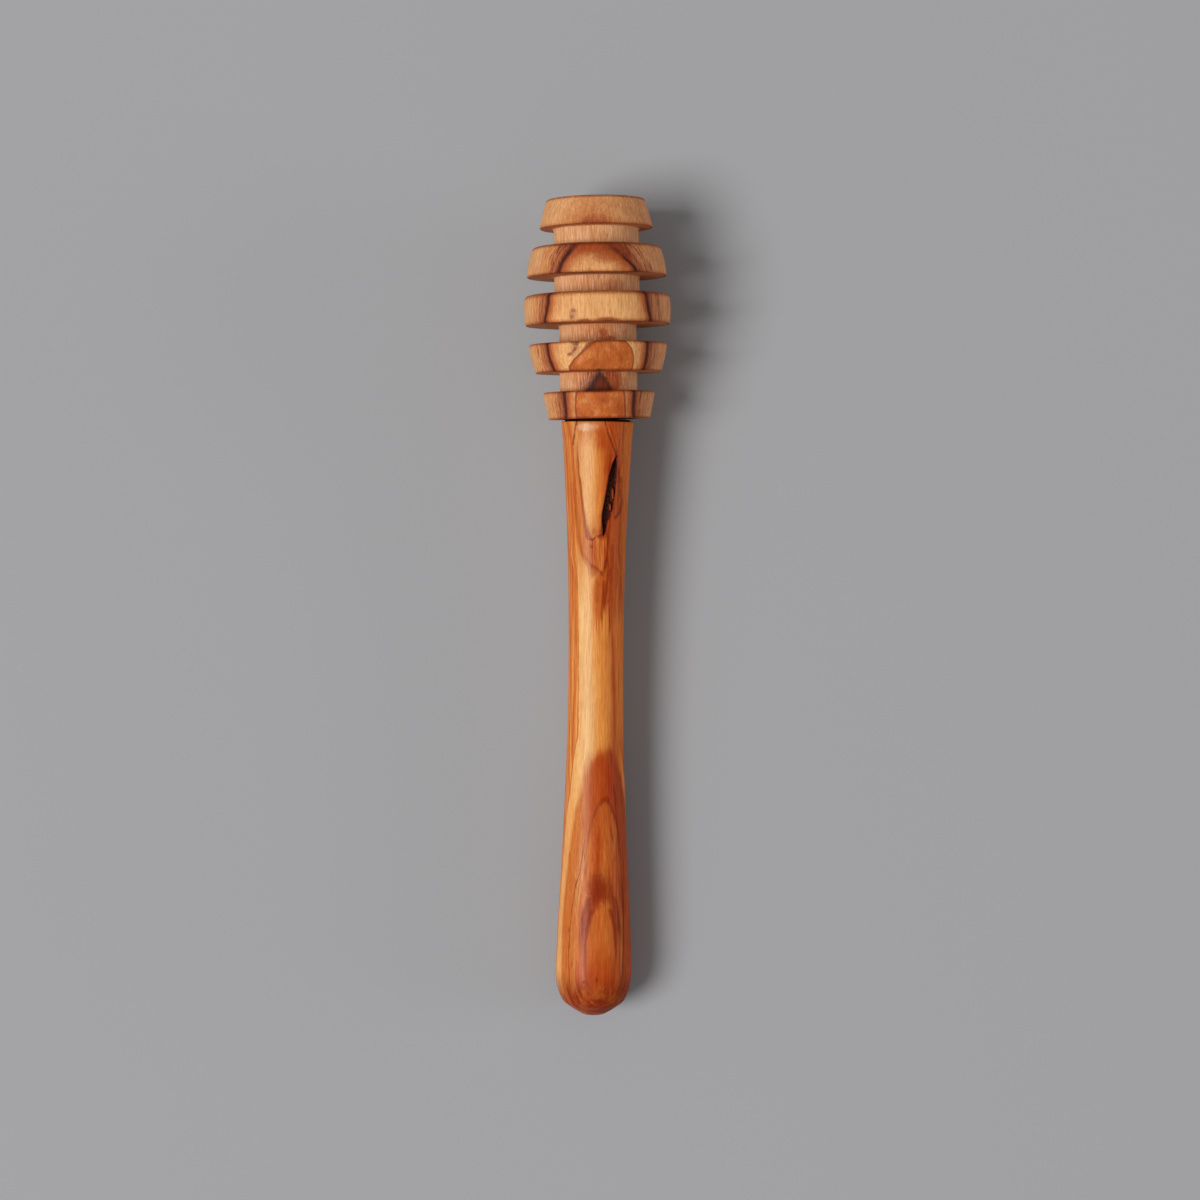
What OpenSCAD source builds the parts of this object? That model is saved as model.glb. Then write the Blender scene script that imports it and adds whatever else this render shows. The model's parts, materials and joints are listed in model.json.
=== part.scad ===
// Honey dipper turned from two pieces of olive wood, lying on its side.
// The ribbed head holds the honey in its grooves. A blind socket in it takes the round tenon
// that is turned on the handle, in a film of wood glue.
// Frame: the table is Z = 0, +Y runs towards the free end of the head, and +Z is up.
// The head rests on the rim of its widest rib, and the handle on its belly.
// All sizes are in millimetres.

/* [Head] */
// Diameter of the widest rib
head_d = 28.7; // [27:0.1:34]
// Mean thickness of a rib
rib_thickness = 5.55; // [4.5:0.05:7]
// Mean width of the groove between two ribs
groove_width = 3.65; // [3:0.05:6]
// Diameter of the core in the two grooves near the free end
core_end_d = 16.6; // [14:0.1:17]
// Diameter of the core in the two grooves near the handle
core_handle_d = 15.1; // [14:0.1:17]
// Radius left by the tool where a rib meets the core
groove_fillet = 0.35; // [0.1:0.05:0.8]

/* [Handle] */
// Length from the shoulder to the butt, without the tenon
handle_length = 116.8; // [100:0.1:140]
// Diameter at the shoulder
shoulder_d = 14.1; // [12:0.1:16]
// Diameter of the waist
waist_d = 10.8; // [9.6:0.1:12]
// Distance of the waist from the shoulder
waist_at = 44; // [35:1:50]
// Diameter of the belly near the butt
belly_d = 15; // [13:0.1:17]
// Length of the rounded butt beyond the belly
butt_length = 9; // [5:0.1:12]

/* [Joint] */
// Diameter of the tenon
tenon_d = 8; // [7:0.1:9]
// Length of the tenon beyond the shoulder
tenon_length = 16; // [10:0.5:20]
// Thickness of the glue film around the tenon
glue_thickness = 0.1; // [0.06:0.01:0.15]
// Gap between the shoulder's rim and the head, on the axis
joint_gap = 0.55; // [0.25:0.01:0.8]
// Angle by which the head sits crooked on the handle
head_lean = 1.4; // [0:0.1:1.6]
// Sideways step of the head on the handle
head_shift = 0.35; // [-0.5:0.05:0.5]

/* [Hidden] */

// Fineness of a full turn, of an arc on an edge, and of the two curves of the handle
TURN = 96;
ARC_STEPS = 4;
NECK_STEPS = 12;
SWELL_STEPS = 18;
BUTT_STEPS = 14;

HEAD_WOOD = [0.79, 0.60, 0.44];
HANDLE_WOOD = [0.70, 0.46, 0.27];
GLUE = [0.93, 0.88, 0.70];

// Ribs from the handle to the free end: how much thicker than the mean, how far the rim stands in
// from the widest rib at its handle side and at its end side, how far it swells between them, and
// the rounding of its handle side edge and of its end side edge
RIBS = [
    [-0.30, 4.47, 3.42, 0.08, 0.20, 0.35],
    [0.00, 2.10, 0.80, 0.18, 0.20, 0.40],
    [0.25, 0.25, 0.25, 0.25, 0.25, 0.90],
    [0.20, 0.70, 1.95, 0.25, 0.20, 1.00],
    [0.00, 3.25, 4.75, 0.06, 0.20, 0.45],
];
RIM_STEPS = [0.3, 0.5, 0.7];
// The widest rib bears on the table, on one ring halfway along its rim
WIDEST_RIB = 2;
BEARING_RING = [0.5];
// Grooves between them: how much wider than the mean
GROOVES = [0.10, 0.00, -0.10, -0.05];

// Joint sizes that follow from the ones above
socket_r = tenon_d / 2 + glue_thickness;
SOCKET_SPARE = 0.5;
DRILL_POINT = 118;
TENON_CHAMFER = 0.8;
GLUE_START = 1.2;
POINT_DEPTH = socket_r / tan(DRILL_POINT / 2);

// Where each rib starts, measured up the head from its handle face
function rib_low(i) = i == 0 ? 0 : rib_high(i - 1) + groove_width + GROOVES[i - 1];
function rib_high(i) = rib_low(i) + rib_thickness + RIBS[i][0];
function core_r(i) = (i < 2 ? core_handle_d : core_end_d) / 2;
head_length = rib_high(len(RIBS) - 1);

// Points of an arc, given as [radius, height], from one angle to another
function arc(centre, r, from, to) =
    [for (k = [0:ARC_STEPS]) centre + r * polar(from + (to - from) * k / ARC_STEPS)];
function polar(angle) = [cos(angle), sin(angle)];

// One rib's section from its handle face to its end face, with a swelling rim between round edges
function rib_section(i) =
    let (low = [head_d / 2 - RIBS[i][1], rib_low(i)])
    let (high = [head_d / 2 - RIBS[i][2], rib_high(i)])
    let (swell = RIBS[i][3])
    let (low_round = RIBS[i][4])
    let (high_round = RIBS[i][5])
    let (slope = atan2(high[0] - low[0], high[1] - low[1]))
    let (bend = atan2(4 * swell, high[1] - low[1]))
    concat(
        arc(low + low_round * [-edge_in(bend + slope), 1], low_round, -90, -bend - slope),
        [for (t = i == WIDEST_RIB ? BEARING_RING : RIM_STEPS) low + (high - low) * t + [4 * swell * t * (1 - t), 0]],
        arc(high - high_round * [edge_in(bend - slope), 1], high_round, bend - slope, 90)
    );
// How far in the middle of an edge's rounding lies, for a rim that leans by an angle, in radii
function edge_in(lean) = tan(45 - lean / 2);

// The foot of groove i, with the small radius that the tool leaves in both corners
function groove_section(i) =
    let (low = [core_r(i) + groove_fillet, rib_high(i) + groove_fillet])
    let (high = [core_r(i) + groove_fillet, rib_low(i + 1) - groove_fillet])
    concat(arc(low, groove_fillet, 270, 180), arc(high, groove_fillet, 180, 90));

// Outline of the whole head without its socket, from the axis at the handle face to the axis at the end
head_outline = concat(
    [[0, 0]],
    [for (i = [0:len(RIBS) - 1]) each concat(
        rib_section(i),
        i < len(GROOVES) ? groove_section(i) : []
    )],
    [[0, head_length]]
);

// Radius of the handle, each function along one stretch of it: a parabola from the shoulder down
// to the waist, a slow swell to the belly, and a rounded butt whose end is cut to a shallow cone
SWELL_IN = 2.2;
SWELL_OUT = 1.45;
BUTT_SQUARENESS = 2.4;
CONE_FROM = 0.731;
CONE_START = 0.765;
CONE_SLOPE = 1.5;
belly_at = handle_length - butt_length;
function neck_r(u) = waist_d / 2 + (shoulder_d - waist_d) / 2 * pow(1 - u, 2);
function swell_r(u) = waist_d / 2 + (belly_d - waist_d) / 2 * swell(u);
function swell(u) = 1 - pow(1 - pow(u, SWELL_IN), SWELL_OUT);
function butt_r(u) = min(round_r(u), cone_r(u));
function round_r(u) = belly_d / 2 * pow(1 - pow(u, BUTT_SQUARENESS), 1 / BUTT_SQUARENESS);
function cone_r(u) = CONE_START * belly_d / 2 - CONE_SLOPE * butt_length * (u - CONE_FROM);

// The seat: a low raised ring inside the shoulder, on which the crooked head bears at one side
SHOULDER_ROUND = 0.12;
SEAT_IN = 0.65;
SEAT_CLEAR = 0.02;
seat_r = shoulder_d / 2 - SEAT_IN;
seat_high = joint_gap - tan(head_lean) * (seat_r + head_shift) - SEAT_CLEAR;
handle_outline = concat(
    [[0, seat_high], [seat_r, seat_high], [seat_r, 0], [shoulder_d / 2 - SHOULDER_ROUND, 0]],
    [for (k = [0:NECK_STEPS]) let (u = k / NECK_STEPS)
        [neck_r(u), k == 0 ? -SHOULDER_ROUND : -waist_at * u]],
    [for (k = [1:SWELL_STEPS]) let (u = k / SWELL_STEPS)
        [swell_r(u), -waist_at - (belly_at - waist_at) * u]],
    [for (k = [1:BUTT_STEPS]) let (u = sin(90 * k / BUTT_STEPS))
        [k == BUTT_STEPS ? 0 : butt_r(u), -belly_at - butt_length * u]]
);

// How the head stands on the handle: where its axis starts and which way it runs
head_start = [head_shift, 0, joint_gap];
head_axis = [-sin(head_lean), 0, cos(head_lean)];
handle_axis = [0, 0, 1];

// The handle slopes down from the widest rib to the belly. With the rough angle one of the two would
// just miss the table, and the real angle closes that gap.
widest_at = joint_gap + (rib_low(WIDEST_RIB) + rib_high(WIDEST_RIB)) / 2;
bearing_span = widest_at + belly_at;
rough_tilt = asin((head_d - belly_d) / 2 / bearing_span);
rough_gap =
    reach([0, 0, 0], handle_axis, handle_outline, down_at(rough_tilt))
    - reach(head_start, head_axis, head_outline, down_at(rough_tilt));
tilt = rough_tilt - atan(rough_gap / bearing_span);

// The table's directions as the handle's own axes see them
function down_at(angle) = [0, cos(angle), -sin(angle)];
down = down_at(tilt);
endward = [0, sin(tilt), cos(tilt)];
sideways = [1, 0, 0];

// How far a turned outline on a sloping axis reaches in one direction
function reach(start, axis, outline, way) =
    max([for (p = outline) (start + axis * p[1]) * way + p[0] * norm(cross(axis, way))]);
function reach_of_all(way) =
    max(
        reach(head_start, head_axis, head_outline, way),
        reach([0, 0, 0], handle_axis, handle_outline, way)
    );
centre_x = (reach_of_all(sideways) - reach_of_all(-sideways)) / 2;
centre_y = (reach_of_all(endward) - reach_of_all(-endward)) / 2;
lowest = reach_of_all(down);

// Lays what is modelled upright on the shoulder down on the table
module laid_down() {
    translate([-centre_x, -centre_y, lowest]) rotate([tilt - 90, 0, 0]) children();
}

// Turns an outline round its own axis
module turned(outline) {
    rotate_extrude($fn = TURN) polygon(outline);
}

// The drilled hole, coaxial with the tenon, so it stands a little askew in the head
module socket() {
    start = -1;
    floor_at = tenon_length + SOCKET_SPARE;
    turned([[0, start], [socket_r, start], [socket_r, floor_at], [0, floor_at + POINT_DEPTH]]);
}

// The turned head: five ribs, four grooves and the blind socket in its handle face
module dipper_head() {
    color(HEAD_WOOD)
    laid_down() difference() {
        translate(head_start) rotate([0, -head_lean, 0]) turned(head_outline);
        socket();
    }
}

// The turned handle with its shoulder, waist, belly and rounded butt, and the seat and tenon in one with it
module handle() {
    tenon_r = tenon_d / 2;
    color(HANDLE_WOOD)
    laid_down() union() {
        turned(handle_outline);
        turned([
            [0, -1],
            [tenon_r, -1],
            [tenon_r, tenon_length - TENON_CHAMFER],
            [tenon_r - TENON_CHAMFER, tenon_length],
            [0, tenon_length]
        ]);
    }
}

// The cured glue: a thin cup that fills the joint between the tenon and the socket
module glue_film() {
    tenon_r = tenon_d / 2;
    top = tenon_length + SOCKET_SPARE;
    color(GLUE)
    laid_down() turned([
        [tenon_r, GLUE_START],
        [socket_r, GLUE_START],
        [socket_r, top],
        [0, top],
        [0, tenon_length],
        [tenon_r - TENON_CHAMFER, tenon_length],
        [tenon_r, tenon_length - TENON_CHAMFER]
    ]);
}

dipper_head();
handle();
glue_film();
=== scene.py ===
import functools
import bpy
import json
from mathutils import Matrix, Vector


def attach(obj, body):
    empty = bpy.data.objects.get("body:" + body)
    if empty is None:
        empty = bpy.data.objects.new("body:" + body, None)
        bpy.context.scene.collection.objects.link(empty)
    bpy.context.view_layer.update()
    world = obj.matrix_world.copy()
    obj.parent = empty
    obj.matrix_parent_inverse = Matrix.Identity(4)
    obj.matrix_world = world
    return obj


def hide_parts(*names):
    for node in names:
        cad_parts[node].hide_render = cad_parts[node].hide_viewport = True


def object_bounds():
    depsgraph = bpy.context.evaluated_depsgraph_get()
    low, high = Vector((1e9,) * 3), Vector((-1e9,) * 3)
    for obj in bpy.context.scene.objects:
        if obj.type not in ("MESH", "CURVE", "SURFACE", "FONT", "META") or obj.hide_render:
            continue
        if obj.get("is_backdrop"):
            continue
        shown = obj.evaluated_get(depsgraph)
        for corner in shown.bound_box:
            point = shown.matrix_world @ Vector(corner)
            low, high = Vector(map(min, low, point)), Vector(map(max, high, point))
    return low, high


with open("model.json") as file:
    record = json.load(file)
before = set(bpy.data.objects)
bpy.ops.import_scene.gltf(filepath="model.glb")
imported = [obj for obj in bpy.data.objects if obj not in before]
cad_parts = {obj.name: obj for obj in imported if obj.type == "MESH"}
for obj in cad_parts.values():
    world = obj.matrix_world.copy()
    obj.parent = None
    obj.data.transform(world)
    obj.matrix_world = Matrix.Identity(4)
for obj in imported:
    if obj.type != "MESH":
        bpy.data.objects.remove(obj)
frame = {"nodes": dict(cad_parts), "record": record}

import inspect
import json
import math

import bpy
import numpy as np
from mathutils import Matrix, Vector

bl_info = {
    "name": "Turned Honey Dipper",
    "version": (1, 0, 0),
    "blender": (4, 5, 0),
    "location": "View3D > Sidebar > Honey Dipper",
    "description": "Dresses the turned head and handle of a honey dipper in olive wood",
    "category": "Add Mesh",
}

MM = 0.001
BODY = "root"


def srgb(red, green, blue):
    """A colour as the eye names it, 0 to 255, as the linear values that Blender works in"""
    return tuple(
        c / 12.92 if c <= 0.04045 else ((c + 0.055) / 1.055) ** 2.4
        for c in (red / 255, green / 255, blue / 255)
    )


def colour(name, description, value):
    return bpy.props.FloatVectorProperty(
        name=name, description=description, subtype="COLOR", size=3, min=0, max=1, default=srgb(*value)
    )


def length(name, description, millimetres):
    return bpy.props.FloatProperty(
        name=name, description=description, unit="LENGTH", precision=5, min=0, default=millimetres * MM
    )


def share(name, description, value):
    return bpy.props.FloatProperty(
        name=name, description=description, subtype="FACTOR", min=0, max=1, default=value
    )


def angle(name, description, degrees):
    return bpy.props.FloatProperty(
        name=name, description=description, subtype="ANGLE", default=math.radians(degrees)
    )


class HeadSettings(bpy.types.PropertyGroup):
    """Sizes and colours of the ribbed head"""

    sapwood: colour("Sapwood", "Pale tan wood on the outside of the plank", (238, 185, 130))
    rose: colour("Rose Wood", "Redder sapwood, deeper in", (216, 140, 82))
    russet: colour("Russet", "Red-brown wood outside the dark growth line", (156, 62, 24))
    growth_line: colour("Growth Line", "The nearly black line between two growths", (66, 24, 16))
    amber: colour("Amber", "Saturated wood inside the dark growth line", (188, 92, 34))
    honey: colour("Honey", "Bright wood further inside", (250, 192, 126))
    heart: colour("Heart", "Orange-brown wood at the heart", (228, 128, 50))
    knot: colour("Knot", "Dark knots and specks", (58, 20, 12))
    roughness: share("Roughness", "How dull the sanded wood is", 0.62)
    rim_wear: length("Rim Wear", "How far the rims are out of round", 0.05)
    chip_depth: length("Chip Depth", "How deep the small chips in the rib edges go", 0.1)


class HandleSettings(bpy.types.PropertyGroup):
    """Sizes and colours of the handle"""

    cream: colour("Cream", "Palest growth, along the waist", (245, 197, 130))
    honey: colour("Honey", "Golden wood of the waist", (240, 160, 76))
    stripe: colour("Stripe", "Brown stripes in the flanks", (204, 102, 36))
    russet: colour("Russet", "Red-brown wood on the heart side", (178, 54, 6))
    ember: colour("Ember", "Orange wood along the right flank", (254, 154, 66))
    plum: colour("Plum", "Purple-brown wood between two growths", (210, 128, 62))
    growth_line: colour("Growth Line", "Dark lines between two growths", (92, 32, 10))
    bark: colour("Bark Pocket", "Nearly black inside of the long crack", (40, 15, 7))
    roughness: share("Roughness", "How dull the oiled wood is", 0.45)
    oil_sheen: share("Oil Sheen", "How much of a skin the oil has left", 0.1)
    crack_depth: length("Crack Depth", "Depth of the long crack below the shoulder", 0.55)

    @property
    def dark(self):
        return mixed(self.russet, self.growth_line, 0.5)

    @property
    def golden(self):
        return mixed(self.honey, self.stripe, 0.25)


class StageSettings(bpy.types.PropertyGroup):
    """Floor, light and camera"""

    floor: colour("Floor", "Plain pale floor", (161, 161, 163))
    softbox_distance: length("Softbox Distance", "From the object to the softbox", 4000)
    softbox_width: length("Softbox Width", "Diameter of the round softbox", 1900)
    softbox_height: angle("Softbox Height", "Angle of the softbox above the floor", 53)
    softbox_side: angle("Softbox Side", "Angle of the softbox behind the left hand side", 15)
    card_level: share("Card Level", "Light from the white card at the right, as a share of white", 0.2)
    fill: share("Fill", "Share of the light that comes from all round", 0.28)
    camera_height: length("Camera Height", "Height of the camera above the floor", 482)
    lens: bpy.props.FloatProperty(
        name="Lens", description="Focal length on a 36 mm sensor", unit="CAMERA", default=72
    )


class DipperSettings(bpy.types.PropertyGroup):
    """All settings of the honey dipper"""

    head: bpy.props.PointerProperty(type=HeadSettings)
    handle: bpy.props.PointerProperty(type=HandleSettings)
    stage: bpy.props.PointerProperty(type=StageSettings)


# Shader nodes written as formulas


class Wire:
    """One output of a node. Arithmetic on it adds Math nodes, so a formula in this file reads as one."""

    def __init__(self, socket):
        self.socket = socket
        self.tree = socket.id_data

    def math(self, operation, *others):
        return add("Math", dict(enumerate((self, *others))), operation=operation)

    __add__ = functools.partialmethod(math, "ADD")
    __sub__ = functools.partialmethod(math, "SUBTRACT")
    __mul__ = functools.partialmethod(math, "MULTIPLY")
    __truediv__ = functools.partialmethod(math, "DIVIDE")
    __neg__ = functools.partialmethod(math, "MULTIPLY", -1)
    size = functools.partialmethod(math, "ABSOLUTE")
    either = functools.partialmethod(math, "MAXIMUM")
    least = functools.partialmethod(math, "MINIMUM")
    # What is left of 1
    rest = functools.partialmethod(math, "MULTIPLY_ADD", -1, 1)

    def spread(self, low, high, kind="LINEAR"):
        """0 at low and 1 at high"""
        values = {"Value": self, "From Min": low, "From Max": high}
        return add("MapRange", values, "Result", interpolation_type=kind)

    def rise(self, low, high):
        """0 below low, 1 above high and a smooth step between them"""
        return self.spread(low, high, "SMOOTHSTEP")

    def between(self, low, high, soft):
        """1 between low and high, with soft ends"""
        return self.rise(low - soft, low + soft) * self.rise(high + soft, high - soft)

    def line(self, width, soft=0.5):
        """1 within half a width of zero, with soft sides"""
        return self.size().rise(width * (0.5 + soft), width * 0.5 * (1 - soft))

    def curve(self, points):
        """A smooth curve through (place, value) points, level beyond its ends"""
        places, values = zip(*points)
        low = min(values)
        span = max(values) - low
        drawn = add("FloatCurve", {"Value": self.spread(places[0], places[-1])})
        mapping = drawn.socket.node.mapping
        knots = mapping.curves[0].points
        scaled = [((x - places[0]) / (places[-1] - places[0]), (y - low) / span) for x, y in points]
        for x, y in scaled[1:-1]:
            knots.new(x, y)
        knots[0].location = scaled[0]
        knots[len(knots) - 1].location = scaled[-1]
        mapping.update()
        return drawn * span + low


def plug(socket, value):
    """Gives an input a wire or a plain value"""
    if isinstance(value, Wire):
        value.tree.links.new(value.socket, socket)
    elif socket.type == "RGBA" and len(value) == 3:
        socket.default_value = (*value, 1)
    else:
        socket.default_value = value


def add(kind, inputs, output=0, **options):
    """Adds a node beside the wires that feed it, and returns one of its outputs"""
    tree = next(value.tree for value in inputs.values() if isinstance(value, Wire))
    node = tree.nodes.new("ShaderNode" + kind)
    for name, value in options.items():
        setattr(node, name, value)
    for key, value in inputs.items():
        plug(node.inputs[key], value)
    return Wire(node.outputs[output])


def split(vector):
    return [Wire(socket) for socket in add("SeparateXYZ", {0: vector}).socket.node.outputs]


def join(x, y, z):
    return add("CombineXYZ", {0: x, 1: y, 2: z})


def vector_math(operation, *values):
    output = "Value" if operation in ("LENGTH", "DOT_PRODUCT") else "Vector"
    return add("VectorMath", dict(enumerate(values)), output, operation=operation)


def noise(place, seed, detail=2, roughness=0.5, scale=1):
    """Soft noise from 0 to 1 with its middle at 0.5"""
    values = {"Vector": place, "W": seed, "Scale": scale, "Detail": detail, "Roughness": roughness}
    return add("TexNoise", values, "Fac", noise_dimensions="4D")


# Where the Mix node has its share, its two colours and, among its outputs, the colour that it mixes
SHARE, FIRST, SECOND, MIXED = 0, 6, 7, 2


def mix(share, first, second, blend="MIX"):
    return add("Mix", {SHARE: share, FIRST: first, SECOND: second}, MIXED, data_type="RGBA", blend_type=blend)


def mixed(first, second=None, share=0):
    """A colour between two colours, or the first one alone"""
    return first if second is None else tuple(a + (b - a) * share for a, b in zip(first, second))


def ramp(value, stops):
    """A colour that changes with a value, from stops of a place and what mixed() takes"""
    low, high = stops[0][0], stops[-1][0]
    colour = add("ValToRGB", {"Fac": value.spread(low, high)}, "Color")
    elements = colour.socket.node.color_ramp.elements
    for _ in stops[2:]:
        elements.new(0.5)
    for element, (place, *paints) in zip(elements, stops):
        element.position = (place - low) / (high - low)
        element.color = (*mixed(*paints), 1)
    return colour


class Coat:
    """The colour of a material, laid on in layers. Each paint is what mixed() takes."""

    def __init__(self, *paints):
        self.paint = mixed(*paints)

    def over(self, mask, *paints):
        self.paint = mix(mask, self.paint, mixed(*paints))

    def tint(self, mask, shade):
        self.paint = mix(mask, self.paint, shade, "MULTIPLY")


# Shader node groups that more than one material uses


def shared_group(name, *outputs):
    """Makes a function of wires a shader node group with the same inputs, which is built once"""

    def wrap(fill):
        defaults = {p.name.title(): p.default for p in inspect.signature(fill).parameters.values()}

        def build():
            group = bpy.data.node_groups.new(name, "ShaderNodeTree")
            for label, default in defaults.items():
                kind = "NodeSocketVector" if isinstance(default, tuple) else "NodeSocketFloat"
                group.interface.new_socket(label, in_out="INPUT", socket_type=kind).default_value = default
            for label in outputs:
                group.interface.new_socket(label, in_out="OUTPUT", socket_type="NodeSocketFloat")
            entry = group.nodes.new("NodeGroupInput")
            leave = group.nodes.new("NodeGroupOutput")
            wires = fill(*(Wire(entry.outputs[label]) for label in defaults))
            for label, wire in zip(outputs, wires if isinstance(wires, tuple) else (wires,)):
                plug(leave.inputs[label], wire)
            return group

        def place_group(**values):
            group = bpy.data.node_groups.get(name) or build()
            first = add("Group", {key.title(): value for key, value in values.items()}, node_tree=group)
            wires = [Wire(socket) for socket in first.socket.node.outputs]
            return wires if len(outputs) > 1 else first

        return place_group

    return wrap


ORIGIN = (0, 0, 0)


@shared_group("Wood Fibre", "Streak", "Fleck")
def wood_fibre(place=ORIGIN, width=0.3, run=4, seed=0):
    """Fine streaks along the grain, and dark flecks where a vessel is cut open"""
    thin = width.math("POWER", -1)
    x, y, z = split(place)
    drawn_out = join(x * thin, y / run, z * thin)
    streak = noise(drawn_out, seed, detail=3, roughness=0.6)
    fleck = noise(drawn_out, seed + 7, scale=2.7)
    return streak.rise(0.28, 0.72), fleck.rise(0.6, 0.74)


@shared_group("Growth Rings", "Tone", "Thread")
def growth_rings(depth=0, place=ORIGIN, spacing=1, run=6, seed=0):
    """Growth rings at uneven spacing: a soft tone, and thin dark threads that come and go"""
    x, y, _z = split(place)
    layer = join(depth / spacing, y / run, x * 0.3)
    tone = noise(layer, seed, roughness=0.6)
    thread = noise(layer, seed + 3, detail=1, scale=1.7)
    return tone.rise(0.32, 0.68), thread.rise(0.56, 0.66)


@shared_group("Sheet Warp", "Shift")
def sheet_warp(place=ORIGIN, bend=0.3, waver=0.1, seed=0):
    """How far a growth sheet strays from its smooth form: slow bends, and a fine waver along the fibres"""
    x, y, z = split(place)
    slow = noise(join(x * 0.16, y * 0.07, z * 0.16), seed, detail=1)
    fine = noise(join(x * 2.2, y * 0.45, z * 2.2), seed + 5)
    return ((slow - 0.5) * bend + (fine - 0.5) * waver) * 2


@shared_group("Wood Spot", "Mask")
def wood_spot(place=ORIGIN, centre=ORIGIN, size=(1, 1, 1), ragged=0.5, seed=0):
    """A ragged dark spot inside the wood, such as a knot"""
    away = vector_math("DIVIDE", vector_math("SUBTRACT", place, centre), size)
    torn = noise(place, seed, detail=3, roughness=0.65, scale=1.6)
    return (vector_math("LENGTH", away) + (torn - 0.5) * ragged * 2).rise(1.3, 0.5)


@shared_group("Wood Stroke", "Mask")
def wood_stroke(place=ORIGIN, start=ORIGIN, end=(0, 1, 0), width=0.2, ragged=0):
    """A dark stroke on the upper side of a piece, from one place to another as seen from above"""
    ahead = vector_math("SUBTRACT", end, start)
    x, y, z = split(vector_math("SUBTRACT", place, start))
    away = join(x, y, 0)
    share = vector_math("DOT_PRODUCT", away, ahead) / vector_math("DOT_PRODUCT", ahead, ahead)
    share = share.either(0).least(1)
    nearest = vector_math("MULTIPLY", ahead, join(share, share, share))
    gap = vector_math("LENGTH", vector_math("SUBTRACT", away, nearest))
    return (gap / width + ragged).rise(1.3, 0.6) * z.rise(0, 1)


@shared_group("End Grain", "Mask", "Pores")
def end_grain(normal=(0, 0, 1), place=ORIGIN, seed=0):
    """Where the surface is cut across the fibres, and the open pores that show there"""
    mask = split(normal)[1].size().rise(0.45, 0.95)
    return mask, noise(place, seed, scale=4.5).rise(0.58, 0.72) * mask


@shared_group("Handled Surface", "Dullness", "Grime", "Rings")
def handled_surface(place=ORIGIN, edge=0, patchy=0.15, seed=0):
    """Handling and turning: dull and bright patches, grime on edges and the lathe's fine rings"""
    x, y, _z = split(place)
    patch = noise(place, seed, detail=3, scale=0.35)
    scuff = noise(place, seed + 2, detail=3, roughness=0.7, scale=2)
    rings = noise(join(0, y * 5, x * 0.02), seed + 9)
    dull = (patch - 0.5) * patchy + (scuff - 0.5) * patchy * 0.5
    return dull, edge * scuff.rise(0.2, 0.55), rings


def strokes(place, ragged, lines):
    """One mask from dark lines on a piece. Each line has its width, its strength and its points."""
    return functools.reduce(Wire.either, [
        wood_stroke(place=place, start=(*start, 0), end=(*end, 0), width=width, ragged=ragged) * strength
        for width, strength, *points in lines
        for start, end in zip(points, points[1:])
    ])


def spots(place, marks):
    """One mask from ragged spots. Each has its centre, its size and its strength."""
    return functools.reduce(Wire.either, [
        wood_spot(place=place, centre=centre, size=size, seed=seed) * strength
        for seed, (centre, size, strength) in enumerate(marks)
    ])


# What every material starts and ends with


def new_material(name):
    """An empty material and its Principled BSDF"""
    material = bpy.data.materials.new(name)
    material.use_nodes = True
    tree = material.node_tree
    tree.nodes.clear()
    shader = tree.nodes.new("ShaderNodeBsdfPrincipled")
    tree.links.new(shader.outputs["BSDF"], tree.nodes.new("ShaderNodeOutputMaterial").inputs["Surface"])
    return material, shader


def piece_place(shader, matrix):
    """Places in the piece's own frame in millimetres, and the direction that the surface faces there"""
    coordinates = shader.id_data.nodes.new("ShaderNodeTexCoord")
    own = []
    for output, origin, size in (("Object", matrix.translation, MM), ("Normal", Vector(), 1)):
        values = {
            "Vector": Wire(coordinates.outputs[output]),
            "Location": origin,
            "Rotation": matrix.to_euler(),
            "Scale": (size, size, size),
        }
        own.append(add("Mapping", values, vector_type="TEXTURE"))
    return own


def attribute(shader, name):
    node = shader.id_data.nodes.new("ShaderNodeAttribute")
    node.attribute_name = name
    return Wire(node.outputs["Fac"])


def finish(shader, coat, roughness, relief, millimetres):
    """Gives a material its colour, its dullness and its fine relief"""
    plug(shader.inputs["Base Color"], coat.paint)
    plug(shader.inputs["Roughness"], roughness)
    plug(shader.inputs["Normal"], add("Bump", {"Height": relief, "Distance": millimetres * MM}))


# The head's wood. Places in it are mm to the right of its axis, along from its handle face, and up.

# The growth sheets lie nearly level and rise towards the free end
HEAD_RISE = 0.137
# Where the first four rims begin and end. The fifth runs on to the free end.
RIMS = [(-1, 5.4), (8.9, 14.6), (18.1, 24.1), (27.5, 33.4)]
# Depth of the dark growth line at the left and at the right, by the place along the head
LINE_LEFT = [(0, 7.35), (4.6, 7.9), (9.5, 7.62), (14.3, 7.38), (18.6, 7.35), (21.3, 7.75), (24, 7.5),
             (28.4, 7.7), (33, 7.28)]
LINE_RIGHT = [(0, 7), (4.4, 7.75), (9.3, 7.4), (14.1, 7.6), (18.6, 7.35), (20.9, 7.7), (24, 7.5),
              (27.7, 7.55), (29.2, 7.85), (30.3, 8.05), (31.5, 8.1), (33, 7.68)]
# Depth at which the heart begins
HEART_LEFT = [(0, 8.85), (4.5, 9.25), (9.4, 9.75), (10.7, 10.3), (12.8, 11.2), (14.2, 11.45)]
HEART_RIGHT = [(0, 8.45), (4.4, 8.95), (9.4, 9.2), (12.1, 9.65), (14.2, 10.4)]
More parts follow.
